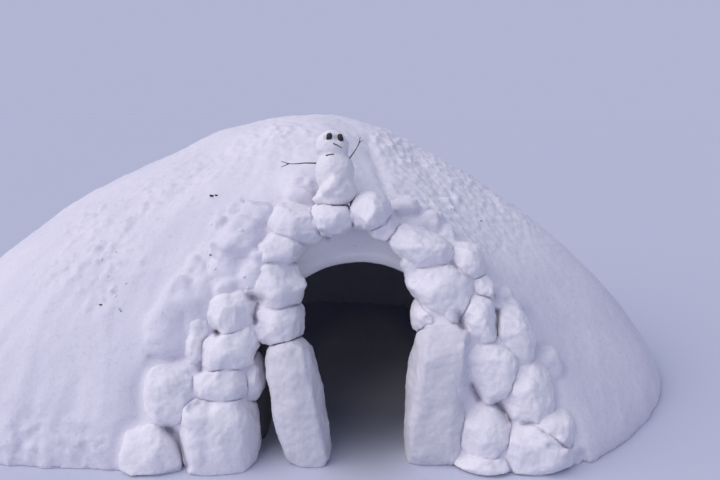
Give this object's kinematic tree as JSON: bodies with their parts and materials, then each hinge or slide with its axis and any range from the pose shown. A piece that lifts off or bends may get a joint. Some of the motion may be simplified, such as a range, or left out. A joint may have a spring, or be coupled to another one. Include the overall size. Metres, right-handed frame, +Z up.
{
  "type": "igloo",
  "caption": "Heaped and hollowed snow shelter, a dome with an arched doorway faced with stacked snow lumps and a small snow figure on the arch.",
  "frame": {"origin": "centre of the footprint's bounding box, on the trodden snow floor at the doorway's foot", "axes": "+Z up; +X to the right as seen facing the doorway, along the mound's longer side; the doorway faces -Y, with its axis about 0.49 m to the right of the origin"},
  "size_m": [5.2663, 3.9312, 1.79],
  "materials": {
    "packed_snow": "wind-packed snow, matt and slightly granular, pale lavender white",
    "lump_snow": "broken snow lumps, matt, rounded and slightly crumbly, pale lavender white",
    "figure_snow": "hand-pressed snow, smooth and matt",
    "pebble": "dark matt pebble",
    "twig": "thin dark bare twig with bark"
  },
  "bodies": {
    "root": {"crown": "packed_snow", "right_flank": "packed_snow", "back_right_flank": "packed_snow", "back_flank": "packed_snow", "back_left_flank": "packed_snow", "left_flank": "packed_snow", "left_pier": "packed_snow", "right_pier": "packed_snow", "entrance_vault": "packed_snow", "left_jamb_slab": "lump_snow", "left_jamb_lump": "lump_snow", "left_haunch_lump": "lump_snow", "arch_lump_left": "lump_snow", "arch_lump_upper_left": "lump_snow", "arch_lump_top_left": "lump_snow", "arch_keystone": "lump_snow", "arch_lump_top_right": "lump_snow", "arch_lump_right": "lump_snow", "right_haunch_lump": "lump_snow", "right_jamb_cap": "lump_snow", "right_jamb_slab": "lump_snow", "left_base_block": "lump_snow", "left_stack_low": "lump_snow", "left_stack_mid": "lump_snow", "left_stack_high": "lump_snow", "left_edge_high": "lump_snow", "left_edge_low": "lump_snow", "left_corner_block": "lump_snow", "left_filler": "lump_snow", "right_shoulder_high": "lump_snow", "right_shoulder_low": "lump_snow", "right_stack_top": "lump_snow", "right_stack_high": "lump_snow", "right_stack_low": "lump_snow", "right_stack_foot": "lump_snow", "right_edge_top": "lump_snow", "right_edge_mid": "lump_snow", "right_base_block": "lump_snow", "right_edge_foot": "lump_snow", "figure_base": "figure_snow", "figure_body": "figure_snow", "figure_head": "figure_snow", "figure_eyes": "pebble", "figure_mouth": "twig", "figure_arms": "twig"}
  },
  "joints": []
}
